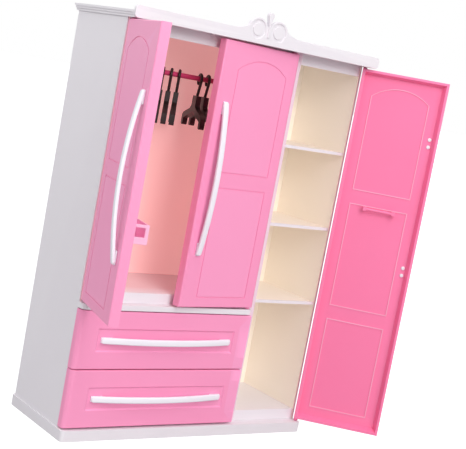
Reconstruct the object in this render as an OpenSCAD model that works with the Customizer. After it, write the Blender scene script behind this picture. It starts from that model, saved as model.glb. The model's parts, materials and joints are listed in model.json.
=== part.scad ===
// Dolls house wardrobe: a moulded plastic cabinet with a wide hanging
// compartment over two drawers, and a narrow side compartment with shelves.
// +Z is up, the doors face -Y, and the origin is the middle of the underside.

/* [Cabinet] */
// Width of the base, left to right
body_w = 230; // [200:1:280]
// Depth of the base, front to back
body_d = 87; // [75:1:110]
// Height of the lower edge of the cornice
body_h = 313.4; // [260:0.2:380]
// Height of the base
base_h = 8.6; // [6:0.2:12]
// Thickness of the side, back and dividing walls
wall_t = 2; // [1.6:0.1:2.6]
// Thickness of the base's and the cap's own skin
skin_t = 2; // [1.6:0.1:2.6]
// How far the base stands out past the side panels
base_lip = 1; // [0.5:0.1:2]
// How far the base stands out past the back panel
back_lip = 3.5; // [1:0.1:6]
// Radius of the base's corners
base_r = 3; // [1:0.5:5]

/* [Compartments] */
// Clear width of the narrow side compartment
bay_w = 62.8; // [50:0.2:80]
// Width of the stile on the divider's front edge
stile_w = 11; // [10:0.5:16]
// Spacing of the shelves, from the header down
shelf_pitch = 64.3; // [50:0.1:78]
// Thickness of a shelf
shelf_t = 2.4; // [1.6:0.1:3.5]
// Height of the step behind the bottom of the doors
step_h = 8; // [5:0.5:14]
// Height of the headers below the cornice's lower edge
header_h = 8.6; // [6:0.2:14]
// Thickness of the lip that carries the two short doors
lip_t = 4.3; // [3.8:0.1:6]

/* [Doors] */
// Thickness of the doors and the drawer fronts
front_t = 7.4; // [6.6:0.2:9]
// How far the door faces lie behind the front of the base
front_inset = 1.9; // [0.5:0.1:4]
// Thickness of a door's face
door_skin = 1.6; // [1.4:0.1:2.2]
// Radius of the hinge pins
pin_r = 1.1; // [0.8:0.1:1.3]
// How far the left door stands open
left_open = 104.3; // [0:0.1:115]
// How far the centre door stands open
centre_open = 4.6; // [0:0.1:105]
// How far the right door stands open
right_open = 137; // [0:0.1:145]

/* [Drawers] */
// Height of a drawer front
drawer_h = 44.6; // [36:0.2:54]
// Height of a drawer tray
tray_h = 34; // [20:1:35]
// Thickness of a tray's floor and walls
tray_t = 1.6; // [1.2:0.1:2.2]
// Size of the sunk panel on a drawer front: width
sunk_w = 126; // [124:1:135]
// Size of the sunk panel on a drawer front: height
sunk_h = 18.2; // [12:0.2:26]

/* [Handles] */
// Length of a handle
handle_len = 122; // [90:1:123]
// Width of a handle
handle_w = 5; // [3.4:0.1:6.2]
// How far a handle's middle stands out from its feet
handle_rise = 8.4; // [7:0.1:12]
// Thickness of a handle's bar
handle_t = 2.8; // [1.6:0.1:3.4]

/* [Rod and hangers] */
// Radius of the clothes rod
rod_r = 2; // [1.6:0.1:2.4]
// Depth of the rod behind the middle of the base
rod_y = 2; // [-1:0.5:4]
// Distance from the cornice's lower edge down to the rod
rod_drop = 34.1; // [28:0.1:45]
// Half the width of a hanger
hanger_half = 25; // [20:0.5:26]
// Thickness of a hanger
hanger_t = 4; // [2.4:0.1:5]
// Spacing of neighbouring hangers on the rod
hanger_gap = 7.5; // [6.6:0.1:9]

/* [Door rack and rail] */
// Width of the left door's rack
rack_w = 27; // [20:0.5:40]
// How far the rack stands out from the door's inside
rack_d = 24; // [12:0.5:30]
// Height of the rack
rack_h = 14; // [10:0.5:20]
// Height of the middle of the rack above the hanging compartment's floor
rack_up = 54.4; // [20:0.2:70]
// Length of the rail on the right door
rail_l = 27; // [20:0.5:40]
// How far the rail stands out from the door's inside
rail_out = 6; // [4:0.5:9]
// Height of the top of the door's middle panel above the middle of the rail
rail_down = 2.4; // [2.4:0.1:30]

/* [Hidden] */
$fn = 48;

// clearances
close_gap = 0.3;   // a closed door or drawer front to the cabinet
slide_gap = 0.3;   // under a drawer tray
side_gap = 1.2;    // beside a drawer tray
door_gap = 0.8;    // between the doors
pin_clear = 0.06;  // radial, round a hinge pin
peg_clear = 0.05;  // radial, round a peg
tab_clear = 0.1;   // all round a tab in its slot
cap_clear = 0.1;   // between the cap's skirt and the walls

// the cabinet's planes
half_w = body_w / 2;
half_d = body_d / 2;
side_x = half_w - base_lip;
inner_x = side_x - wall_t;
back_y = half_d - back_lip;
inner_y = back_y - wall_t;
front_y = front_inset - half_d;
frame_y = front_y + front_t + close_gap;
divider_x = inner_x - bay_w;
stile_x = divider_x - stile_w;
split_x = stile_x + 4;
pin_y = front_y + front_t / 2;

// heights
cap_skirt = 3.2;
cap_z = body_h + cap_skirt;
wall_top = cap_z - cap_clear;
header_z = body_h - header_h;
lower_z = base_h + 1.4;
front_gap = 0.8;
upper_z = lower_z + drawer_h + front_gap;
hang_z = upper_z + drawer_h + front_gap;
lip_top = hang_z + lip_t;
hang_top = lip_top + step_h;
bay_top = base_h + step_h + 0.9;
door_top = body_h - 1.2;
tall_z = base_h + 2.4;
short_z = lip_top + 1.6;

// tabs that hold the walls in the base
tab_l = 14;
tab_h = skin_t;
tab_y = body_d / 4;

// doors: hinge pins, and the edges of the doors when they are shut
pin_inset = 3.6;
left_edge = 0.8 - half_w;
left_pin = left_edge + pin_inset;
centre_edge = split_x - door_gap / 2;
centre_pin = centre_edge - pin_inset;
right_pin = half_w - 1.8;
right_inset = 1.2;
right_edge = right_pin + right_inset;
meet_x = (left_edge + centre_edge) / 2;
short_w = meet_x - door_gap / 2 - left_edge;
tall_w = right_edge - split_x - door_gap / 2;
pin_l = 2.8;
boss_r = 2.2;
rim_t = 2;
hollow_in = 1.4;
edge_r = 1.2;

// lines pressed into the doors
line_w = 0.8;
line_deep = 0.5;
rib_h = 0.3;
arch_rise = 9.3;
shoulder_z = door_top - 20.7;
mid_rail_z = header_z - 98;
low_rail_z = hang_top - 6.3;
rail_half = 5.7;
foot_rail_z = base_h + 14;

// handles
handle_in = 8.8;
tall_handle_in = 6.8;
handle_z = (shoulder_z + short_z) / 2 + 7.8;
peg_r = 1.1;
peg_in = [3.3, 9.5];
peg_over = 1.2;
pad_l = 12;
pad_t = 1.4;

// drawers
drawer_x0 = 0.6 - half_w;
drawer_x1 = centre_edge;
tray_x0 = side_gap - inner_x;
tray_x1 = stile_x - side_gap;
tray_y1 = inner_y - 3;
sunk_deep = 1.2;
face_t = 2.4;
sunk_shift = 1.5;
handle_x = (drawer_x0 + drawer_x1) / 2 + sunk_shift;
guide_t = 2;
guide_h = 8;
clip_r = 2;
clip_z = 28;

// rod and hangers
rod_z = body_h - rod_drop;
socket_r = rod_r + 2.2;
socket_l = 4;
socket_floor = 1;
wire_r = 1.15;
hook_r = rod_r + wire_r + 1;
hook_drop = 0.75;
stem_end = -12.8;
arm_turn = 32.5;
slack_turn = 16.5;
first_hanger = -54;
second_group = -19;

// rack and rail on the doors
rack_t = 1.4;
ledge_h = 5;
rail_h = 2.2;
post_w = 3;

// crest of the cornice
cornice_y = front_y - 7.5;
cornice_t = 3;
cornice_over = base_lip + 2.2;
band_h = 9;
lobe_x = 9.8;
lobe_r = 8.8;
lobe_z = 1.6;
rim_w = 1.7;
drop_r = 2.3;
drop_top = 15.5;
sweep_x = 33;
sweep_in = 17;
sweep_h = 4.6;

white = [0.95, 0.93, 0.95];
pink = [0.96, 0.62, 0.78];
deep_pink = [0.98, 0.52, 0.69];
crimson = [0.78, 0.2, 0.35];
black = [0.1, 0.06, 0.05];

// ---------- shared shapes ----------

// A box from its low corner to its high corner
module box(low, high) {
  translate(low) cube(high - low);
}

// A plate with round corners, from its low corner to its high corner
module round_plate(low, high, r) {
  for (x = [low.x + r, high.x - r], y = [low.y + r, high.y - r])
    translate([x, y, low.z]) cylinder(r = r, h = high.z - low.z);
  box([low.x + r, low.y, low.z], [high.x - r, high.y, high.z]);
  box([low.x, low.y + r, low.z], [high.x, high.y - r, high.z]);
}

// Two tabs under a wall that runs front to back, grown by the clearance
module wall_tabs(x, grow) {
  for (y = [-tab_y, tab_y])
    box([x - grow, y - tab_l / 2 - grow, base_h - tab_h - grow],
        [x + wall_t + grow, y + tab_l / 2 + grow, base_h]);
}

// Two tabs under the back panel, grown by the clearance
module back_tabs(grow) {
  for (x = [-half_w / 2, half_w / 2])
    box([x - tab_l / 2 - grow, inner_y - grow, base_h - tab_h - grow],
        [x + tab_l / 2 + grow, back_y + grow, base_h]);
}

// The pegs of the three shelves, as shafts or as the holes that take them
module shelf_pegs(z, r, l) {
  for (x = [divider_x - l, inner_x], y = [-20, 25])
    translate([x, y, z + shelf_t / 2]) rotate([0, 90, 0]) cylinder(r = r, h = l);
}

function shelf_z(i) = header_z - i * shelf_pitch - shelf_t;

peg_l = wall_t - 0.5;
module shelf_holes() {
  for (i = [1 : 3]) shelf_pegs(shelf_z(i), peg_r - 0.1 + peg_clear, peg_l + 0.1);
}

// ---------- cabinet ----------

// Open underneath, with ribs; slots in its top take the walls' tabs
module base_plinth() {
  color(white) difference() {
    round_plate([-half_w, -half_d, 0], [half_w, half_d, base_h], base_r);
    difference() {
      box([skin_t - half_w, skin_t - half_d, -1],
          [half_w - skin_t, half_d - skin_t, base_h - skin_t - 0.2]);
      for (x = [-half_w / 2, 0, half_w / 2])
        box([x - 0.8, -half_d, -1], [x + 0.8, half_d, base_h]);
      translate([right_pin, pin_y, 0]) cylinder(r = boss_r + 1, h = base_h);
    }
    for (x = [-side_x, inner_x, divider_x - wall_t]) wall_tabs(x, tab_clear);
    back_tabs(tab_clear);
    translate([right_pin, pin_y, base_h - pin_l - 0.4])
      cylinder(r = pin_r + pin_clear, h = pin_l + 1);
  }
}

module side_panel(x) {
  box([x, frame_y, base_h], [x + wall_t, back_y, wall_top]);
  wall_tabs(x, 0);
}

module left_side_panel() {
  color(white) side_panel(-side_x);
}

module right_side_panel() {
  color(white) difference() {
    side_panel(inner_x);
    shelf_holes();
  }
}

module back_panel() {
  color(white) {
    box([-inner_x, inner_y, base_h], [inner_x, back_y, wall_top]);
    back_tabs(0);
  }
}

// A wall between the compartments, with a wider stile on its front edge
module centre_divider() {
  color(white) difference() {
    union() {
      box([divider_x - wall_t, frame_y, base_h], [divider_x, inner_y, wall_top]);
      box([stile_x, frame_y, base_h], [divider_x, frame_y + wall_t, wall_top]);
      wall_tabs(divider_x - wall_t, 0);
    }
    shelf_holes();
  }
}

// A cap with a stepped edge; its skirt fits over the walls
module top_board() {
  skirt_y = cornice_y + cornice_t;
  color(white) difference() {
    for (i = [0 : 2]) {
      out = side_x + 1.4 + i * (cornice_over - 1.4) / 2;
      box([-out, skirt_y, body_h + i * (cap_skirt + skin_t) / 3],
          [out, back_y + 1.2 + i * 0.4, body_h + (i + 1) * (cap_skirt + skin_t) / 3]);
    }
    difference() {
      box([-side_x - cap_clear, skirt_y + 1.2, body_h - 1],
          [side_x + cap_clear, back_y + cap_clear, cap_z]);
      for (x = [left_pin, centre_pin, right_pin])
        translate([x, pin_y, body_h]) cylinder(r = boss_r + 0.9, h = cap_skirt + 1);
    }
    for (x = [left_pin, centre_pin, right_pin])
      translate([x, pin_y, body_h - 1])
        cylinder(r = pin_r + pin_clear, h = cap_skirt + 1);
  }
}

// A bud on a stem, in front of the gap between the scrolls
module crest_drop() {
  translate([0, drop_top - drop_r]) circle(r = drop_r);
  polygon([[-drop_r, drop_top - drop_r], [drop_r, drop_top - drop_r],
           [0.8, 6], [0.8, -3.5], [-0.8, -3.5], [-0.8, 6]]);
}

// Outline of the crest, drawn up from the top of the cornice's band
module crest_outline() {
  for (s = [-1, 1]) {
    translate([s * lobe_x, lobe_z]) circle(r = lobe_r);
    difference() {
      translate([s > 0 ? lobe_x : -sweep_x, -1]) square([sweep_x - lobe_x, sweep_h + 1]);
      sweep_r = (pow(sweep_x - sweep_in, 2) + pow(sweep_h, 2)) / (2 * sweep_h);
      translate([s * sweep_x, sweep_r]) circle(r = sweep_r, $fn = 180);
    }
  }
  translate([-lobe_x, -1]) square([2 * lobe_x, lobe_z + 4]);
}

module cornice() {
  half = side_x + cornice_over;
  color(white) difference() {
    translate([0, cornice_y + cornice_t, body_h]) rotate([90, 0, 0]) {
      linear_extrude(cornice_t) {
        translate([-half + 2.5, 0]) square([2 * half - 5, band_h]);
        for (s = [-1, 1], z = [2.5, band_h - 2.5])
          translate([s * (half - 2.5), z]) circle(r = 2.5);
        translate([-half, 2.5]) square([2 * half, band_h - 5]);
      }
      translate([0, band_h, 0]) linear_extrude(cornice_t) crest_outline();
      translate([0, band_h, 0]) linear_extrude(cornice_t + 1) crest_drop();
    }
    // sunk faces of the two scrolls leave a rim round each
    for (s = [-1, 1])
      translate([s * lobe_x, cornice_y + 0.8, body_h + band_h + lobe_z])
        rotate([90, 0, 0]) difference() {
          cylinder(r = lobe_r - rim_w, h = 2);
          cylinder(r = lobe_r - 2.4 * rim_w, h = 2);
        }
  }
}

module wide_header() {
  color(white) box([-inner_x, frame_y, header_z], [stile_x, frame_y + wall_t, wall_top]);
}

module narrow_header() {
  color(white) box([divider_x, frame_y, header_z], [inner_x, frame_y + wall_t, wall_top]);
}

// Floor of the hanging compartment: a raised plate, a step and a lip
module hanging_floor() {
  color(white) difference() {
    union() {
      box([-inner_x, frame_y + wall_t, hang_top - wall_t],
          [divider_x - wall_t, inner_y, hang_top]);
      box([-inner_x, frame_y, hang_z], [stile_x, frame_y + wall_t, hang_top]);
      box([-inner_x, inner_y - wall_t, hang_z], [divider_x - wall_t, inner_y, hang_top]);
      intersection() {
        round_plate([drawer_x0, front_y - 0.3, hang_z],
                    [drawer_x1, frame_y + 8, lip_top], 4);
        box([-half_w, -half_d, hang_z], [half_w, frame_y, lip_top]);
      }
    }
    for (x = [left_pin, centre_pin])
      translate([x, pin_y, lip_top - pin_l - 0.2])
        cylinder(r = pin_r + pin_clear, h = pin_l + 1);
  }
}

module bay_floor() {
  color(white) {
    box([divider_x, frame_y, bay_top - wall_t], [inner_x, inner_y, bay_top]);
    box([divider_x, frame_y, base_h], [inner_x, frame_y + wall_t, bay_top]);
  }
}

module shelf(i) {
  color(white) {
    box([divider_x, frame_y + 0.5, shelf_z(i)], [inner_x, inner_y, shelf_z(i) + shelf_t]);
    shelf_pegs(shelf_z(i), peg_r - 0.1, peg_l);
  }
}

module upper_shelf() { shelf(1); }
module middle_shelf() { shelf(2); }
module lower_shelf() { shelf(3); }

// Carries the upper drawer, and keeps the two drawers apart
module drawer_shelf() {
  color(white) {
    box([-inner_x, frame_y + wall_t, upper_z - wall_t],
        [divider_x - wall_t, inner_y, upper_z]);
    box([-inner_x, frame_y, upper_z - wall_t], [stile_x, frame_y + wall_t, upper_z]);
  }
}

module drawer_guide(z) {
  x = tray_x1 + 0.4;
  color(white) box([x, frame_y + wall_t, z], [x + guide_t, tray_y1, z + guide_h]);
}

module upper_drawer_guide() { drawer_guide(upper_z); }
module lower_drawer_guide() { drawer_guide(base_h); }

module door_catch() {
  color(white) box([meet_x - 5.9, pin_y + 0.4, door_top + 0.3], [meet_x - 3.7, frame_y - 0.4, cap_z]);
}

module clothes_rod() {
  reach = divider_x - wall_t + inner_x - 2 * socket_floor;
  color(crimson) translate([socket_floor - inner_x, rod_y, rod_z])
    rotate([0, 90, 0]) cylinder(r = rod_r, h = reach);
}

module rod_socket(x, side) {
  color(white) translate([x, rod_y, rod_z]) rotate([0, 90 * side, 0]) difference() {
    cylinder(r = socket_r, h = socket_l);
    translate([0, 0, socket_floor]) cylinder(r = rod_r + peg_clear, h = socket_l);
  }
}

module left_rod_socket() { rod_socket(-inner_x, 1); }
module right_rod_socket() { rod_socket(divider_x - wall_t, -1); }

// ---------- doors ----------
// A door is drawn shut with its hinge pin on the Z axis and its free edge
// towards +X, then mirrored if it hinges on its right, and swung open.

module place_door(x, z, open, side) {
  translate([x, pin_y, z]) rotate([0, 0, -side * open])
    if (side < 0) mirror([1, 0, 0]) children();
    else children();
}

// Plan of a door: a round hinge edge and a rounded outer free edge
module door_plan(w, inset) {
  b = front_t / 2;
  far = w - inset;
  intersection() {
    circle(r = b);
    translate([-inset, -b]) square([2 * b, 2 * b]);
  }
  translate([0, -b]) square([far - edge_r, front_t]);
  translate([far - edge_r - 1, edge_r - b]) square([edge_r + 1, front_t - edge_r]);
  translate([far - edge_r, edge_r - b]) circle(r = edge_r);
}

// A pressed line round a panel: a box in X and Z, with an arched top or not
module panel_shape(x0, x1, z0, z1, rise) {
  translate([x0, z0]) square([x1 - x0, z1 - z0]);
  if (rise > 0) {
    half = (x1 - x0) / 2;
    arc_r = (half * half + rise * rise) / (2 * rise);
    intersection() {
      translate([x0 + half, z1 + rise - arc_r]) circle(r = arc_r, $fn = 120);
      translate([x0, z1 - 1]) square([2 * half, rise + 1]);
    }
  }
}

module panel_line(x0, x1, z0, z1, rise, y, deep) {
  e = line_w;
  translate([0, y, 0]) rotate([90, 0, 0]) linear_extrude(deep) difference() {
    panel_shape(x0, x1, z0, z1, rise);
    panel_shape(x0 + e, x1 - e, z0 + e, z1 - (rise > 0 ? 0 : e), rise > 0 ? rise - e : 0);
  }
}

// Heights of a door's panels, from the door's own bottom edge
module door_lines(x0, x1, z, y, deep, tall) {
  top = mid_rail_z + rail_half - z;
  mid = mid_rail_z - rail_half - z;
  low = low_rail_z + rail_half - z;
  panel_line(x0, x1, top, shoulder_z - z, arch_rise, y, deep);
  panel_line(x0, x1, low + (tall ? 0 : 2), mid, 0, y, deep);
  if (tall) panel_line(x0, x1, foot_rail_z - z, low_rail_z - rail_half - z, 0, y, deep);
}

module door(w, z, inset, x0, x1, tall) {
  b = front_t / 2;
  h = door_top - z;
  far = w - inset;
  below = z - (tall ? base_h : lip_top) - close_gap;
  above = body_h - door_top - close_gap;
  difference() {
    linear_extrude(h) door_plan(w, inset);
    difference() {
      box([hollow_in, door_skin - b, rim_t], [far - rim_t, b + 1, h - rim_t]);
      if (tall) door_lines(x0, x1, z, door_skin - b + rib_h, rib_h, tall);
    }
    door_lines(x0, x1, z, line_deep - b, line_deep + 1, tall);
    handle_pegs_at(far - (tall ? tall_handle_in : handle_in), z, -b - 1, front_t, peg_clear);
  }
  // a collar and a pin at each end of the hinge edge
  intersection() {
    union() {
      translate([0, 0, -below]) cylinder(r = boss_r, h = below);
      translate([0, 0, h]) cylinder(r = boss_r, h = above);
    }
    box([-inset, -b, -below], [b, b, h + above]);
  }
  translate([0, 0, -below - pin_l]) cylinder(r = pin_r, h = pin_l);
  translate([0, 0, h + above]) cylinder(r = pin_r, h = pin_l);
}

// The four pegs of an upright handle, or the holes for them
module handle_pegs_at(x, z, y, l, grow) {
  for (s = [-1, 1], p = peg_in)
    translate([x, y, handle_z - z + s * (handle_len / 2 - p)])
      rotate([-90, 0, 0]) cylinder(r = peg_r + grow, h = l);
}

// A bowed bar along X with its feet on the plane y = 0 and its bow towards -Y
module handle_bar() {
  half = handle_len / 2 - 3;
  gap = handle_rise - handle_t;
  arc_r = (half * half + gap * gap) / (2 * gap);
  linear_extrude(handle_w, center = true) {
    intersection() {
      difference() {
        translate([0, arc_r - gap]) circle(r = arc_r + handle_t, $fn = 360);
        translate([0, arc_r - gap]) circle(r = arc_r, $fn = 360);
      }
      translate([-handle_len / 2 + handle_w / 2, -handle_rise - 1])
        square([handle_len - handle_w, handle_rise + 1]);
    }
    for (s = [-1, 1])
      translate([s * (handle_len / 2 - (pad_l + handle_w) / 2) - (pad_l - handle_w / 2) / 2, -pad_t])
        square([pad_l - handle_w / 2, pad_t]);
  }
  for (s = [-1, 1])
    translate([s * (handle_len - handle_w) / 2, 0, 0])
      rotate([90, 0, 0]) cylinder(r = handle_w / 2, h = pad_t + 0.3);
}

module handle_with_pegs(wall) {
  handle_bar();
  for (s = [-1, 1], p = peg_in)
    translate([s * (handle_len / 2 - p), 0, 0])
      rotate([-90, 0, 0]) cylinder(r = peg_r, h = wall + peg_over);
}

module door_handle(w, z, inset, edge_in) {
  color(white) translate([w - inset - edge_in, -front_t / 2, handle_z - z])
    rotate([0, 90, 0]) handle_with_pegs(door_skin);
}

// A small rack, open on top: it has a floor and walls on three sides, and its
// end towards the door's free edge has a ledge below and a rail above
module rack() {
  x = rack_w / 2;
  z = rack_h / 2;
  box([-x, 0, -z], [x, rack_t, z]);
  box([-x, 0, -z], [x, rack_d, rack_t - z]);
  box([-x, rack_d - rack_t, -z], [x, rack_d, z]);
  box([-x, 0, -z], [rack_t - x, rack_d, z]);
  box([x - rack_t, 0, -z], [x, rack_d, ledge_h - z]);
  box([x - rack_t, 0, z - rail_h], [x, rack_d, z]);
  box([x - 2 * rack_t, rack_d - 2 * rack_t, -z], [x, rack_d, z]);
}

// A round bar held off the door by a square post at each end
module rail() {
  x = rail_l / 2;
  for (s = [-x, x - post_w])
    box([s, 0, -post_w / 2], [s + post_w, rail_out, post_w / 2]);
  translate([-x + post_w, rail_out - rail_h / 2, 0])
    rotate([0, 90, 0]) cylinder(r = rail_h / 2, h = rail_l - 2 * post_w);
}

// Puts a fitting on the inside of a shut door, in the middle of its width
module on_inside(w, z, inset, up) {
  color(deep_pink) translate([w / 2 - inset, door_skin - front_t / 2, up - z]) children();
}

short_lines = [11.5 - pin_inset, short_w - 15.5 - pin_inset];
tall_lines = [10.8 - right_inset, tall_w - 12.4 - right_inset];

module short_door() {
  color(pink) door(short_w, short_z, pin_inset, short_lines[0], short_lines[1], false);
}

module left_door() { place_door(left_pin, short_z, left_open, 1) short_door(); }
module left_door_handle() {
  place_door(left_pin, short_z, left_open, 1) door_handle(short_w, short_z, pin_inset, handle_in);
}
module left_door_rack() {
  place_door(left_pin, short_z, left_open, 1)
    on_inside(short_w, short_z, pin_inset, hang_top + rack_up) rack();
}

module centre_door() { place_door(centre_pin, short_z, centre_open, -1) short_door(); }
module centre_door_handle() {
  place_door(centre_pin, short_z, centre_open, -1) door_handle(short_w, short_z, pin_inset, handle_in);
}

module right_door() {
  color(deep_pink) place_door(right_pin, tall_z, right_open, -1)
    door(tall_w, tall_z, right_inset, tall_lines[0], tall_lines[1], true);
}
module right_door_handle() {
  place_door(right_pin, tall_z, right_open, -1) door_handle(tall_w, tall_z, right_inset, tall_handle_in);
}
module right_door_rail() {
  place_door(right_pin, tall_z, right_open, -1)
    on_inside(tall_w, tall_z, right_inset, mid_rail_z - rail_half - rail_down) rail();
}

// ---------- drawers ----------

// Four clips of a drawer front, or the holes for them in the tray
module front_clips(z, r, l) {
  for (x = [tray_x0 + 12, tray_x1 - 12], dz = [8, clip_z])
    translate([x, front_y + front_t - 0.1, z + dz]) rotate([-90, 0, 0]) cylinder(r = r, h = l);
}

module drawer_tray(z) {
  y0 = front_y + front_t;
  bottom = z + slide_gap;
  color(pink) difference() {
    box([tray_x0, y0, bottom], [tray_x1, tray_y1, bottom + tray_h]);
    box([tray_x0 + tray_t, y0 + tray_t, bottom + tray_t],
        [tray_x1 - tray_t, tray_y1 - tray_t, bottom + tray_h + 1]);
    front_clips(bottom, clip_r + peg_clear, tray_t + 1);
  }
}

module drawer_front(z, tray_z) {
  mid = z + drawer_h / 2;
  back = front_y + front_t;
  color(pink) difference() {
    union() {
      difference() {
        intersection() {
          round_plate([drawer_x0, front_y, z], [drawer_x1 + 8, back + 8, z + drawer_h], 4);
          box([drawer_x0, front_y, z], [drawer_x1, back, z + drawer_h]);
        }
        box([drawer_x0 + rim_t, front_y + face_t, z + rim_t],
            [drawer_x1 - rim_t, back + 1, z + drawer_h - rim_t]);
      }
      difference() {
        front_clips(tray_z, clip_r, tray_t + 0.8);
        box([-half_w, -half_d, 0], [half_w, front_y, body_h]);
      }
      for (x = [tray_x0 + 12, tray_x1 - 12], dz = [8, clip_z])
        translate([x, front_y + face_t, tray_z + dz])
          rotate([-90, 0, 0]) cylinder(r = clip_r, h = front_t - face_t);
    }
    box([handle_x - sunk_w / 2, front_y - 1, mid - sunk_h / 2],
        [handle_x + sunk_w / 2, front_y + sunk_deep, mid + sunk_h / 2]);
    for (s = [-1, 1], p = peg_in)
      translate([handle_x + s * (handle_len / 2 - p), front_y - 1, mid])
        rotate([-90, 0, 0]) cylinder(r = peg_r + peg_clear, h = front_t - 1);
  }
}

module drawer_handle(z) {
  color(white) translate([handle_x, front_y + sunk_deep, z + drawer_h / 2])
    handle_with_pegs(face_t - sunk_deep);
}

module upper_drawer_tray() { drawer_tray(upper_z); }
module upper_drawer_front() { drawer_front(upper_z, upper_z + slide_gap); }
module upper_drawer_handle() { drawer_handle(upper_z); }
module lower_drawer_tray() { drawer_tray(base_h); }
module lower_drawer_front() { drawer_front(lower_z, base_h + slide_gap); }
module lower_drawer_handle() { drawer_handle(lower_z); }

// ---------- hangers ----------
// A hanger is drawn in the X-Z plane with the middle of its hook at the origin.

module hanger_half_outline() {
  h = hanger_half;
  polygon([[0, stem_end], [4.6, stem_end], [5, -20.5], [7.5, -23], [h - 2.5, -27.4],
           [h, -29.6], [h, -35.4], [h - 4.4, -35.4], [h - 4.4, -32], [8, -28.2], [0, -25]]);
  translate([h - 2.2, -35.4]) circle(r = 2.2);
}

module hanger() {
  stem_l = sqrt(hook_r * hook_r + stem_end * stem_end);
  rotate([90, 0, 0]) {
    rotate([0, 0, -50]) rotate_extrude(angle = 230, $fn = 40)
      translate([hook_r, 0]) circle(r = wire_r, $fn = 20);
    rotate([0, 0, -50]) translate([hook_r, 0, 0]) sphere(r = wire_r, $fn = 20);
    translate([-hook_r, 0, 0]) rotate([0, 0, atan2(hook_r, -stem_end)])
      rotate([90, 0, 0]) cylinder(r = wire_r, h = stem_l + 1, $fn = 20);
    translate([0, 0, -hanger_t / 2]) linear_extrude(hanger_t) {
      hanger_half_outline();
      mirror([1, 0]) hanger_half_outline();
    }
  }
}

module hang(x, turn) {
  color(black) translate([x, rod_y, rod_z - hook_drop]) rotate([0, 0, 90 - turn]) hanger();
}

module hanger_1() { hang(first_hanger, arm_turn); }
module hanger_2() { hang(first_hanger + hanger_gap, arm_turn); }
module hanger_3() { hang(first_hanger + 2 * hanger_gap, arm_turn); }
module hanger_4() { hang(second_group, slack_turn); }
module hanger_5() { hang(second_group + hanger_gap, slack_turn); }

// ---------- the whole ----------

base_plinth();
left_side_panel();
right_side_panel();
back_panel();
centre_divider();
top_board();
cornice();
wide_header();
narrow_header();
hanging_floor();
bay_floor();
upper_shelf();
middle_shelf();
lower_shelf();
drawer_shelf();
upper_drawer_guide();
lower_drawer_guide();
door_catch();
clothes_rod();
left_rod_socket();
right_rod_socket();
left_door();
left_door_handle();
left_door_rack();
centre_door();
centre_door_handle();
right_door();
right_door_handle();
right_door_rail();
upper_drawer_tray();
upper_drawer_front();
upper_drawer_handle();
lower_drawer_tray();
lower_drawer_front();
lower_drawer_handle();
hanger_1();
hanger_2();
hanger_3();
hanger_4();
hanger_5();
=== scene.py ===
import json
import math

import bmesh
import bpy
from mathutils import Matrix, Vector


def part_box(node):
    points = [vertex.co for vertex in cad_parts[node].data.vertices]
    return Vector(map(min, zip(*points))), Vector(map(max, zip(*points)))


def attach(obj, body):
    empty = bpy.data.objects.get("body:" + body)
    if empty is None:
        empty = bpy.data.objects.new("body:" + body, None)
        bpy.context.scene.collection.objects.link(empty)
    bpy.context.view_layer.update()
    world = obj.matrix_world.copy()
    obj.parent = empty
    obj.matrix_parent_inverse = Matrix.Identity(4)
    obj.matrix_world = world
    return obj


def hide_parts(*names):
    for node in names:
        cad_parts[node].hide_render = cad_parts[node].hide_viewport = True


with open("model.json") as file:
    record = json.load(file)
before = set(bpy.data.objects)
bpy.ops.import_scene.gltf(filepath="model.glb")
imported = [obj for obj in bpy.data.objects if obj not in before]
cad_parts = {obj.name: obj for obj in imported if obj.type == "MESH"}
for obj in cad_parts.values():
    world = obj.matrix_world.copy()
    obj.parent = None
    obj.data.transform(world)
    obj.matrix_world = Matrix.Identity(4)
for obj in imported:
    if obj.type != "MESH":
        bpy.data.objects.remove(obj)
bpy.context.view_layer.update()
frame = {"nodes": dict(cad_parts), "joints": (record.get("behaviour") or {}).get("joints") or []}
scene = bpy.context.scene


# ---- Camera: at eye level with the headers, in front and well to the left.
# It is rolled a little, so the wardrobe leans in the picture.
eye = Vector((-0.5290, -0.7456, 0.2827))
look = Vector((0.60054, 0.79008, -0.12298)).normalized()
level = look.cross(Vector((0, 0, 1))).normalized()
roll = math.radians(10.65)
right = level * math.cos(roll) + level.cross(look) * math.sin(roll)
up = right.cross(look)
camera = bpy.data.objects.new("camera", bpy.data.cameras.new("camera"))
camera.data.lens = 88.14
camera.data.sensor_width = 36
camera.matrix_world = Matrix.Translation(eye) @ Matrix((right, up, -look)).transposed().to_4x4()
scene.collection.objects.link(camera)
scene.camera = camera


# ---- Studio: a pale floor before a bright white backdrop, lit by broad soft
# lights from the front, above and left, and two weak lamps near its top.
def soft_sun(name, come_from, strength, spread):
    """A far soft light that comes from the given direction, with its spread in degrees."""
    lamp = bpy.data.lights.new(name, "SUN")
    lamp.energy = strength
    lamp.angle = math.radians(spread)
    light = bpy.data.objects.new(name, lamp)
    light.rotation_mode = "QUATERNION"
    light.rotation_quaternion = Vector(come_from).to_track_quat("Z", "Y")
    scene.collection.objects.link(light)


soft_sun("front", (-0.15, -1.0, 0.30), 1.02, 30)
soft_sun("above", (0.10, -0.35, 1.0), 0.95, 50)
soft_sun("left", (-1.0, -0.15, 0.45), 0.26, 60)


def disk_lamp(name, place, aim, watts):
    """A near round lamp, aimed at a point."""
    lamp = bpy.data.lights.new(name, "AREA")
    lamp.shape = "DISK"
    lamp.size = 0.5
    lamp.energy = watts
    light = bpy.data.objects.new(name, lamp)
    light.location = place
    light.rotation_mode = "QUATERNION"
    light.rotation_quaternion = (Vector(aim) - Vector(place)).to_track_quat("-Z", "Y")
    scene.collection.objects.link(light)


disk_lamp("high_front_lamp", (-0.15, -0.75, 0.75), (0, 0, 0.25), 3.0)
disk_lamp("high_left_lamp", (-0.80, -0.15, 0.60), (-0.11, 0, 0.25), 1.35)

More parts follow.
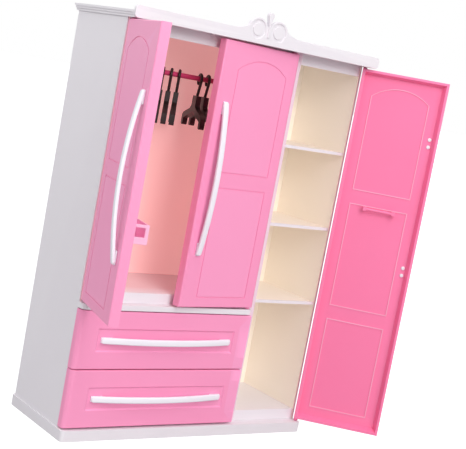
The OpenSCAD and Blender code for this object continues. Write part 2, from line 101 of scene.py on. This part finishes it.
world = bpy.data.worlds.new("room")
world.use_nodes = True
room = world.node_tree
room.nodes["Background"].inputs["Color"].default_value = (0.96, 0.97, 1, 1)
toward = room.nodes.new("ShaderNodeTexCoord")
compass = room.nodes.new("ShaderNodeSeparateXYZ")
room.links.new(toward.outputs["Generated"], compass.inputs["Vector"])
backdrop = room.nodes.new("ShaderNodeMapRange")
backdrop.inputs["From Min"].default_value = -0.1
backdrop.inputs["From Max"].default_value = 0.6
backdrop.inputs["To Min"].default_value = 0.20
backdrop.inputs["To Max"].default_value = 1.1
room.links.new(compass.outputs["Y"], backdrop.inputs["Value"])
room.links.new(backdrop.outputs["Result"], room.nodes["Background"].inputs["Strength"])
seen = room.nodes.new("ShaderNodeBackground")
seen.inputs["Color"].default_value = (1, 1, 1, 1)
seen.inputs["Strength"].default_value = 1.0
path = room.nodes.new("ShaderNodeLightPath")
choose = room.nodes.new("ShaderNodeMixShader")
room.links.new(path.outputs["Is Camera Ray"], choose.inputs["Fac"])
room.links.new(room.nodes["Background"].outputs["Background"], choose.inputs[1])
room.links.new(seen.outputs["Background"], choose.inputs[2])
room.links.new(choose.outputs["Shader"], room.nodes["World Output"].inputs["Surface"])
scene.world = world
scene.view_settings.view_transform = "Standard"

bm = bmesh.new()
bmesh.ops.create_grid(bm, x_segments=2, y_segments=2, size=20)
floor_mesh = bpy.data.meshes.new("floor")
bm.to_mesh(floor_mesh)
bm.free()
floor = bpy.data.objects.new("floor", floor_mesh)
scene.collection.objects.link(floor)
pale = bpy.data.materials.new("pale_floor")
pale.use_nodes = True
ground = pale.node_tree
ground.nodes["Principled BSDF"].inputs["Base Color"].default_value = (0.42, 0.42, 0.42, 1)
ground.nodes["Principled BSDF"].inputs["Roughness"].default_value = 0.9
glow = ground.nodes.new("ShaderNodeEmission")
glow.inputs["Strength"].default_value = 0.86
both = ground.nodes.new("ShaderNodeAddShader")
ground.links.new(ground.nodes["Principled BSDF"].outputs["BSDF"], both.inputs[0])
ground.links.new(glow.outputs["Emission"], both.inputs[1])
bare = ground.nodes.new("ShaderNodeMixShader")
path = ground.nodes.new("ShaderNodeLightPath")
ground.links.new(path.outputs["Is Camera Ray"], bare.inputs["Fac"])
ground.links.new(ground.nodes["Principled BSDF"].outputs["BSDF"], bare.inputs[1])
ground.links.new(both.outputs["Shader"], bare.inputs[2])
ground.links.new(bare.outputs["Shader"], ground.nodes["Material Output"].inputs["Surface"])
floor_mesh.materials.append(pale)


# ---- Base: the white moulded plinth that everything stands on.
# Satin white plastic, with the faint orange peel and flow marks of moulding.
def moulded_plastic(name, colour, streak, gloss, peel=0.02):
    """Plastic from a mould: slow changes of colour, fine orange peel and light rubbing on its edges."""
    made = bpy.data.materials.new(name)
    made.use_nodes = True
    nodes, links = made.node_tree.nodes, made.node_tree.links
    shader = nodes["Principled BSDF"]
    shader.inputs["IOR"].default_value = 1.49
    place = nodes.new("ShaderNodeTexCoord")

    flow = nodes.new("ShaderNodeTexNoise")
    flow.inputs["Scale"].default_value = 14
    flow.inputs["Detail"].default_value = 4
    links.new(place.outputs["Object"], flow.inputs["Vector"])
    tone = nodes.new("ShaderNodeMix")
    tone.data_type = "RGBA"
    tone.inputs["A"].default_value = (*colour, 1)
    tone.inputs["B"].default_value = (*streak, 1)
    links.new(flow.outputs["Fac"], tone.inputs["Factor"])

    edge = nodes.new("ShaderNodeNewGeometry")
    rubbed = nodes.new("ShaderNodeMapRange")
    rubbed.inputs["From Min"].default_value = 0.52
    rubbed.inputs["From Max"].default_value = 0.62
    rubbed.inputs["To Max"].default_value = 0.22
    links.new(edge.outputs["Pointiness"], rubbed.inputs["Value"])
    worn = nodes.new("ShaderNodeMix")
    worn.data_type = "RGBA"
    worn.inputs["B"].default_value = (*[min(1, c * 1.25 + 0.04) for c in colour], 1)
    links.new(rubbed.outputs["Result"], worn.inputs["Factor"])
    links.new(tone.outputs["Result"], worn.inputs["A"])
    links.new(worn.outputs["Result"], shader.inputs["Base Color"])

    haze = nodes.new("ShaderNodeTexNoise")
    haze.inputs["Scale"].default_value = 55
    haze.inputs["Detail"].default_value = 5
    links.new(place.outputs["Object"], haze.inputs["Vector"])
    sheen = nodes.new("ShaderNodeMapRange")
    sheen.inputs["To Min"].default_value = gloss - 0.02
    sheen.inputs["To Max"].default_value = gloss + 0.10
    links.new(haze.outputs["Fac"], sheen.inputs["Value"])
    links.new(sheen.outputs["Result"], shader.inputs["Roughness"])

    skin = nodes.new("ShaderNodeTexNoise")
    skin.inputs["Scale"].default_value = 750
    skin.inputs["Detail"].default_value = 2
    links.new(place.outputs["Object"], skin.inputs["Vector"])
    bump = nodes.new("ShaderNodeBump")
    bump.inputs["Strength"].default_value = peel
    bump.inputs["Distance"].default_value = 0.0004
    links.new(skin.outputs["Fac"], bump.inputs["Height"])
    links.new(bump.outputs["Normal"], shader.inputs["Normal"])
    return made


def shade(mesh, angle=40):
    """Smooth shading that keeps edges sharper than the angle."""
    mesh.polygons.foreach_set("use_smooth", [True] * len(mesh.polygons))
    mesh.set_sharp_from_angle(angle=math.radians(angle))


def merged(node):
    """A CAD node's shape as one clean mesh, with its flat faces whole."""
    bm = bmesh.new()
    bm.from_mesh(frame["nodes"][node].data)
    bmesh.ops.remove_doubles(bm, verts=bm.verts, dist=2e-6)
    bmesh.ops.dissolve_limit(bm, angle_limit=math.radians(0.6), verts=bm.verts, edges=bm.edges)
    return bm


def ease_edges(bm, radius, angle=35, segments=2):
    """Rounds every edge that turns by more than the angle, as a mould's corners are."""
    sharp = [e for e in bm.edges if e.is_manifold and e.calc_face_angle(0) > math.radians(angle)]
    bmesh.ops.bevel(bm, geom=sharp, offset=radius, offset_type="OFFSET", affect="EDGES",
                    segments=segments, profile=0.5, material=-1, clamp_overlap=True)


def add_piece(bm, name, body, slot, finish, *stands_for):
    """Makes the mesh a piece that rides on a body, in place of the CAD nodes that it stands for."""
    mesh = bpy.data.meshes.new(name)
    bm.to_mesh(mesh)
    bm.free()
    shade(mesh)
    mesh.materials.append(finish)
    piece = bpy.data.objects.new(name, mesh)
    scene.collection.objects.link(piece)
    flat = piece.modifiers.new("flat_faces", "WEIGHTED_NORMAL")
    flat.keep_sharp = True
    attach(piece, body)
    if stands_for:
        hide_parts(*stands_for)
    return piece


def moulding(node, body, slot, finish, radius=0.0004):
    """A CAD node's own shape with its edges eased."""
    bm = merged(node)
    ease_edges(bm, radius)
    return add_piece(bm, node + "_moulding", body, slot, finish, node)


white_tones = ((0.84, 0.80, 0.84), (0.79, 0.75, 0.79))
white = moulded_plastic("white_plastic", *white_tones, 0.34)
moulding("base_plinth", "cabinet", "body_white", white, 0.0007)


# ---- Walls: thin white panels whose insides carry painted light: painted warm
# bounce light by the shelves, painted pink bounce light behind the pink doors, and a painted glow.
def past(axis, start, end):
    """Picks what lies past a plane: 0 at start, 1 at end."""
    def pick(nodes, links):
        place = nodes.new("ShaderNodeTexCoord")
        split = nodes.new("ShaderNodeSeparateXYZ")
        links.new(place.outputs["Object"], split.inputs["Vector"])
        ramp = nodes.new("ShaderNodeMapRange")
        ramp.inputs["From Min"].default_value = start
        ramp.inputs["From Max"].default_value = end
        links.new(split.outputs[axis], ramp.inputs["Value"])
        return ramp.outputs["Result"]
    return pick


def painted_inner_light(name, glow, pick, one, other, outer=white_tones):
    """Plastic in its outer tones, but with painted light where pick says: a painted tint between two colours,
    and a painted glow of that tint.
    """
    made = moulded_plastic(name, *outer, 0.36)
    nodes, links = made.node_tree.nodes, made.node_tree.links
    shader = nodes["Principled BSDF"]
    place = nodes.new("ShaderNodeTexCoord")
    cloud = nodes.new("ShaderNodeTexNoise")
    cloud.inputs["Scale"].default_value = 9
    links.new(place.outputs["Object"], cloud.inputs["Vector"])
    painted_tint = nodes.new("ShaderNodeMix")
    painted_tint.data_type = "RGBA"
    painted_tint.inputs["A"].default_value = (*one, 1)
    painted_tint.inputs["B"].default_value = (*other, 1)
    links.new(cloud.outputs["Fac"], painted_tint.inputs["Factor"])
    inside = nodes.new("ShaderNodeMix")
    inside.data_type = "RGBA"
    # painted glow: the wall glows in the painted tint, though it is no lamp
    through = nodes.new("ShaderNodeMix")
    through.data_type = "RGBA"
    through.inputs["A"].default_value = (0, 0, 0, 1)
    picked = pick(nodes, links)
    links.new(picked, inside.inputs["Factor"])
    links.new(picked, through.inputs["Factor"])
    links.new(shader.inputs["Base Color"].links[0].from_socket, inside.inputs["A"])
    links.new(painted_tint.outputs["Result"], inside.inputs["B"])
    links.new(painted_tint.outputs["Result"], through.inputs["B"])
    links.new(inside.outputs["Result"], shader.inputs["Base Color"])
    links.new(through.outputs["Result"], shader.inputs["Emission Color"])
    shader.inputs["Emission Strength"].default_value = glow
    return made


# Painted light: pink bounce light behind the pink doors, warm bounce light in the bays, and the strengths of
# the painted glow.
pink_bounce_light = ((0.92, 0.56, 0.52), (0.94, 0.60, 0.60))
warm_bounce_light = ((0.96, 0.86, 0.74), (0.97, 0.89, 0.79))
painted_pink_glow, painted_warm_glow = 0.30, 0.09
left_mid = sum(b.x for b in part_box("left_side_panel")) / 2
right_mid = sum(b.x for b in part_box("right_side_panel")) / 2
divider_low, divider_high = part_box("centre_divider")
web_mid = divider_high.x - 0.001
colour_step = 0.0002
back_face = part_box("back_panel")[0].y
left_inside = past("X", left_mid, left_mid + colour_step)
right_inside = past("X", right_mid, right_mid - colour_step)
left_wall = painted_inner_light("left_wall_plastic", painted_pink_glow, left_inside, *pink_bounce_light)
right_wall = painted_inner_light("right_wall_plastic", painted_warm_glow, right_inside, *warm_bounce_light)
# The divider's front edge takes painted pink light from the doors, and its faces further back take the painted
# warm light.
divider_wall = painted_inner_light(
    "divider_plastic", painted_warm_glow, past("Y", divider_low.y + 0.001, divider_low.y + 0.004), *warm_bounce_light,
    outer=((0.86, 0.68, 0.76), (0.84, 0.64, 0.73)))
inner_face = past("Y", back_face + 0.001, back_face + 0.001 - colour_step)
back_wall = painted_inner_light("back_wall_plastic", painted_warm_glow, inner_face, *warm_bounce_light)
pink_lit_back = painted_inner_light("pink_lit_back_plastic", painted_pink_glow, inner_face, *pink_bounce_light)
moulding("left_side_panel", "cabinet", "body_white", left_wall, 0.0005)
moulding("right_side_panel", "cabinet", "body_white", right_wall, 0.0005)
moulding("centre_divider", "cabinet", "body_white", divider_wall)

# The back is one sheet, and the divider's back edge parts its two colours of painted light: warm bounce light
# to the right, pink bounce light to the left.
bm = merged("back_panel")
bmesh.ops.bisect_plane(bm, geom=bm.verts[:] + bm.edges[:] + bm.faces[:], dist=1e-6,
                       plane_co=(web_mid, 0, 0), plane_no=(1, 0, 0))
ease_edges(bm, 0.0004)
back = add_piece(bm, "back_panel_moulding", "cabinet", "body_white", back_wall, "back_panel")
back.data.materials.append(pink_lit_back)
for face in back.data.polygons:
    face.material_index = 1 if face.center.x < web_mid else 0


# ---- Floors and shelves: white plates that slot between the walls.
# The hanging compartment's floor ends in the lip that carries two doors.
floor_low, floor_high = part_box("hanging_floor")
lip_back = floor_low.y + 0.008
shelf_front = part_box("middle_shelf")[0].y
# Painted light: the hanging floor behind its lip takes painted pink bounce light and shade, and the shelves
# behind their front edge take painted warm light and shade, each with a faint painted glow.
pink_lit_floor = painted_inner_light(
    "hanging_floor_plastic", 0.05,
    past("Y", lip_back + 0.004, lip_back + 0.020), (0.76, 0.58, 0.60), (0.78, 0.62, 0.64))
warm_lit_shelf = painted_inner_light(
    "shelf_plastic", 0.08,
    past("Y", shelf_front + 0.001, shelf_front + 0.003), (0.86, 0.77, 0.68), (0.88, 0.80, 0.73))
moulding("hanging_floor", "cabinet", "body_white", pink_lit_floor, 0.0005)
moulding("bay_floor", "cabinet", "body_white", white)
for shelf in ("upper_shelf", "middle_shelf", "lower_shelf"):
    moulding(shelf, "cabinet", "body_white", warm_lit_shelf, 0.0003)
moulding("drawer_shelf", "cabinet", "body_white", white)
for guide in ("upper_drawer_guide", "lower_drawer_guide"):
    moulding(guide, "cabinet", "body_white", white, 0.0003)
for header in ("wide_header", "narrow_header"):
    moulding(header, "cabinet", "body_white", white)
moulding("door_catch", "cabinet", "body_white", white, 0.0003)


# ---- Cap and cornice: the cap drops over the walls, and the cornice with its
# scrolled crest is fixed to the front of it.
moulding("top_board", "cabinet", "body_white", white, 0.0003)
moulding("cornice", "cabinet", "body_white", white, 0.0004)


# ---- Clothes rod: a crimson bar held in two white cups.
crimson = moulded_plastic("crimson_plastic", (0.60, 0.05, 0.16), (0.52, 0.04, 0.13), 0.33)
moulding("clothes_rod", "cabinet", "rod_crimson", crimson, 0.0003)
for cup in ("left_rod_socket", "right_rod_socket"):
    moulding(cup, "cabinet", "body_white", white, 0.0003)


# ---- Hangers: five glossy black ones, each moulded in one piece, that hang
# by an open hook and swing on the rod.
black = moulded_plastic("black_plastic", (0.016, 0.010, 0.009), (0.024, 0.014, 0.012), 0.30, 0.05)
for number in range(1, 6):
    moulding(f"hanger_{number}", f"hanger_{number}", "hanger_black", black, 0.0005)


# ---- Doors: shallow pink trays with a round hinge edge, pressed panel lines
# and a pin at the top and bottom of that edge, all moulded in one piece.
pink = moulded_plastic("pink_plastic", (0.98, 0.35, 0.58), (0.96, 0.32, 0.54), 0.33)
# The right door and its rail take a deeper, darker copy of the pink plastic: painted shade.
shaded_pink = moulded_plastic("shaded_pink_plastic", (1.0, 0.24, 0.45), (0.98, 0.21, 0.41), 0.33)
# The rib tops take a paler pink: a painted highlight.
rib_highlight_pink = moulded_plastic("rib_highlight_pink_plastic", (1.0, 0.42, 0.60), (1.0, 0.38, 0.56), 0.33)
rib_height, cad_rib_height = 0.0006, 0.0003
door_skin, door_wall, rim = 0.0016, 0.002, 0.006
side_slope, end_slope = 0.0026, 0.0022
joints = {j["child"]: j for j in frame["joints"]}
shut_side = {"left_door": 1, "centre_door": -1, "right_door": -1}


def shut_turn(body):
    """The turn about a door's pin, from shut to where it stands at rest."""
    joint = joints[body]
    shut = joint["range_deg"][1] if shut_side[body] > 0 else joint["range_deg"][0]
    pin = Vector(joint["pos_m"])
    pin.z = 0
    turn = Matrix.Rotation(math.radians(-shut), 4, "Z")
    flip = Matrix.Scale(-1, 4, (1, 0, 0)) if shut_side[body] < 0 else Matrix.Identity(4)
    return Matrix.Translation(pin) @ turn @ flip


def round_ends(bm, low, high, face, radius, cuts=(0.12, 0.35, 0.65, 0.9)):
    """Rounds the outer top and bottom edges of a front that faces -Y."""
    for end, way in ((low, 1), (high, -1)):
        for cut in cuts:
            bmesh.ops.bisect_plane(bm, geom=bm.verts[:] + bm.edges[:] + bm.faces[:], dist=1e-7,
                                   plane_co=(0, 0, end + way * radius * cut), plane_no=(0, 0, 1))
    for v in bm.verts:
        depth = min(v.co.z - low, high - v.co.z)
        if -1e-6 < depth < radius:
            reach = radius - math.sqrt(max(0, radius * radius - (radius - depth) ** 2))
            v.co.y = max(v.co.y, face + reach)


def door(body):
    """A door's CAD shape with sloped inner walls, taller ribs and eased edges, worked on while shut."""
    place = shut_turn(body)
    bm = merged(body)
    bmesh.ops.transform(bm, matrix=place.inverted(), verts=bm.verts)
    if shut_side[body] < 0:
        bmesh.ops.reverse_faces(bm, faces=bm.faces)
    far = max(v.co.x for v in bm.verts)
    face = min(v.co.y for v in bm.verts)
    plate = [v.co.z for v in bm.verts if v.co.x > far - rim]
    low, high = min(plate), max(plate)
    skin = face + door_skin
    for v in bm.verts:
        # the tray's inner walls slope out from its skin
        if abs(v.co.y - skin) < 2e-5:
            if abs(v.co.x - (far - door_wall)) < 2e-5:
                v.co.x -= side_slope
            if abs(v.co.z - (low + door_wall)) < 2e-5:
                v.co.z += end_slope
            if abs(v.co.z - (high - door_wall)) < 2e-5:
                v.co.z -= end_slope
        # the ribs inside the tall door stand higher than its collision shape
        if abs(v.co.y - (skin + cad_rib_height)) < 2e-5:
            v.co.y = skin + rib_height
    round_ends(bm, low, high, face, 0.0009)
    ease_edges(bm, 0.0002)
    # rib tops inside the rim get the paler pink of the painted highlight
    for f in bm.faces:
        middle = f.calc_center_median()
        at_rib_height = skin + 0.4 * rib_height < middle.y < skin + 1.2 * rib_height
        inside_rim = low + rim < middle.z < high - rim and middle.x < far - rim
        f.material_index = 1 if at_rib_height and inside_rim else 0
    bmesh.ops.transform(bm, matrix=place, verts=bm.verts)
    if shut_side[body] < 0:
        bmesh.ops.reverse_faces(bm, faces=bm.faces)
    made = add_piece(bm, body + "_moulding", body, "door_pink",
                     shaded_pink if body == "right_door" else pink, body)
    made.data.materials.append(rib_highlight_pink)


for body in shut_side:
    door(body)
# The door rack takes a paler copy of the pink plastic: painted light on a part that sits in shade.
rack_lit_pink = moulded_plastic("rack_lit_pink_plastic", (1.0, 0.56, 0.76), (1.0, 0.52, 0.72), 0.33)
moulding("left_door_rack", "left_door", "door_pink", rack_lit_pink, 0.0003)
moulding("right_door_rail", "right_door", "door_pink", shaded_pink, 0.0003)


# ---- Handles: bowed white bars with round ends, each fixed by two pegs at
# each end that come through the door or the drawer front.
handle_white = moulded_plastic("handle_plastic", (0.92, 0.90, 0.96), (0.88, 0.86, 0.92), 0.33)


def bowed_handle(node, body, place):
    """A bar along X on the plane Y = 0, bowed towards -Y, moved by the matrix."""
    length, width, thick, rise = 0.122, 0.0050, 0.0028, 0.0084
    foot_size, foot_in = (0.010, 0.0014, 0.0044), 0.0066
    peg_radius, peg_length, peg_head, peg_insets = 0.0011, 0.0030, 0.0016, (0.0033, 0.0095)
    half = length / 2 - 0.003
    gap = rise - thick
    radius = (half * half + gap * gap) / (2 * gap)
    middle = Vector((0, radius - gap, 0))
    swing = math.asin((half - 0.0005) / (radius + thick / 2))
    bm = bmesh.new()
    ring = bmesh.ops.create_circle(bm, segments=20, radius=1, cap_ends=False)["verts"]
    for v in ring:
        across, over = v.co.x, v.co.y
        v.co = Vector((0, math.copysign(abs(across) ** 0.6, across) * thick / 2,
                       math.copysign(abs(over) ** 0.6, over) * width / 2))
    bmesh.ops.translate(bm, verts=ring, vec=(0, -gap - thick / 2, 0))
    bmesh.ops.rotate(bm, verts=ring, cent=middle, matrix=Matrix.Rotation(-swing, 3, "Z"))
    first = [e for e in bm.edges]
    spun = bmesh.ops.spin(bm, geom=ring + first, cent=middle, axis=(0, 0, 1), dvec=(0, 0, 0),
                          angle=2 * swing, steps=40, use_duplicate=False)
    last = [e for e in spun["geom_last"] if isinstance(e, bmesh.types.BMEdge)]
    for edges, way in ((first, -1), (last, 1)):
        along = Vector((way * math.cos(swing), math.sin(swing), 0))
        size = 1.0
        for step in (0.35, 0.6, 0.8, 0.93, 1.0):
            grown = bmesh.ops.extrude_edge_only(bm, edges=edges)["geom"]
            edges = [e for e in grown if isinstance(e, bmesh.types.BMEdge)]
            verts = [v for v in grown if isinstance(v, bmesh.types.BMVert)]
            target = math.sqrt(max(0.0004, 1 - step * step))
            centre = sum((v.co for v in verts), Vector()) / len(verts)
            for v in verts:
                v.co = centre + (v.co - centre) * (target / size)
            reach = (step - (0 if size == 1.0 else math.sqrt(max(0, 1 - size * size)))) * thick * 0.7
            bmesh.ops.translate(bm, verts=verts, vec=along * reach)
            size = target
        bmesh.ops.contextual_create(bm, geom=edges)
    for side in (-1, 1):
        foot = bmesh.ops.create_cube(bm, size=1)["verts"]
        bmesh.ops.scale(bm, verts=foot, vec=foot_size)
        bmesh.ops.translate(bm, verts=foot, vec=(side * (length / 2 - foot_in), -foot_size[1] / 2, 0))
        rim = list({e for v in foot for e in v.link_edges})
        bmesh.ops.bevel(bm, geom=rim, offset=0.0005, offset_type="OFFSET", affect="EDGES",
                        segments=3, profile=0.5, material=-1)
        for inset in peg_insets:
            peg = bmesh.ops.create_cone(bm, cap_ends=True, segments=24, radius1=peg_radius,
                                        radius2=peg_radius, depth=peg_length)["verts"]
            bmesh.ops.rotate(bm, verts=peg, cent=(0, 0, 0), matrix=Matrix.Rotation(math.pi / 2, 3, "X"))
            bmesh.ops.translate(bm, verts=peg, vec=(side * (length / 2 - inset), 0.0012, 0))
            head = bmesh.ops.create_uvsphere(bm, u_segments=20, v_segments=10, radius=peg_head)["verts"]
            bmesh.ops.scale(bm, verts=head, vec=(1, 0.35, 1))
            bmesh.ops.translate(bm, verts=head, vec=(side * (length / 2 - inset), 0.0022, 0))
    bmesh.ops.recalc_face_normals(bm, faces=bm.faces)
    bmesh.ops.transform(bm, matrix=place, verts=bm.verts)
    return add_piece(bm, node + "_bar", body, "handle_white", handle_white, node)


for body in shut_side:
    place = shut_turn(body)
    low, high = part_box(body + "_handle")
    far = max((place.inverted() @ v.co).x for v in frame["nodes"][body].data.vertices)
    edge_in = 0.0068 if body == "right_door" else 0.0088
    stand = Matrix.Translation((far - edge_in, -0.0037, (low.z + high.z) / 2))
    bowed_handle(body + "_handle", body, place @ stand @ Matrix.Rotation(math.pi / 2, 4, "Y"))


# ---- Drawers: pink fronts with a sunk panel, clipped to trays of the same
# plastic that slide over the cabinet's floor and shelf.
def frame_groove(bm, face, sides, half_width, depth):
    """Presses a rectangle's outline, as a shallow V, into a flat front that faces -Y."""
    left, right, bottom, top = sides
    for axis, places in (((1, 0, 0), (left, right)), ((0, 0, 1), (bottom, top))):
        for place in places:
            for off in (-half_width, 0, half_width):
                bmesh.ops.bisect_plane(bm, geom=bm.verts[:] + bm.edges[:] + bm.faces[:], dist=1e-7,
                                       plane_co=Vector(axis) * (place + off), plane_no=axis)
    for v in bm.verts:
        in_x = left - 1e-6 < v.co.x < right + 1e-6
        in_z = bottom - 1e-6 < v.co.z < top + 1e-6
        on_x = min(abs(v.co.x - left), abs(v.co.x - right)) < 1e-6
        on_z = min(abs(v.co.z - bottom), abs(v.co.z - top)) < 1e-6
        if abs(v.co.y - face) < 1e-6 and in_x and in_z and (on_x or on_z):
            v.co.y += depth


sunk_deep, outline_out = 0.0012, 0.0036
for drawer in ("upper_drawer", "lower_drawer"):
    moulding(drawer + "_tray", drawer, "door_pink", pink, 0.0003)
    bm = merged(drawer + "_front")
    low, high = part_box(drawer + "_front")
    sunk = [v for v in bm.verts if abs(v.co.y - low.y - sunk_deep) < 1e-5]
    left, right = min(v.co.x for v in sunk), max(v.co.x for v in sunk)
    bottom, top = min(v.co.z for v in sunk), max(v.co.z for v in sunk)
    # the sunk panel's sides slope in as much as they go down
    for v in sunk:
        for axis, edge, way in ((0, left, 1), (0, right, -1), (2, bottom, 1), (2, top, -1)):
            if abs(v.co[axis] - edge) < 1e-5:
                v.co[axis] += way * sunk_deep
    round_ends(bm, low.z, high.z, low.y, 0.0008)
    ease_edges(bm, 0.00025)
    outline = (left - outline_out, right + outline_out, bottom - outline_out, top + outline_out)
    frame_groove(bm, low.y, outline, half_width=0.00032, depth=0.0003)
    add_piece(bm, drawer + "_front_moulding", drawer, "door_pink", pink, drawer + "_front")
    low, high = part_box(drawer + "_handle")
    middle = Vector(((low.x + high.x) / 2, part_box(drawer + "_front")[0].y + sunk_deep, (low.z + high.z) / 2))
    bowed_handle(drawer + "_handle", drawer, Matrix.Translation(middle))
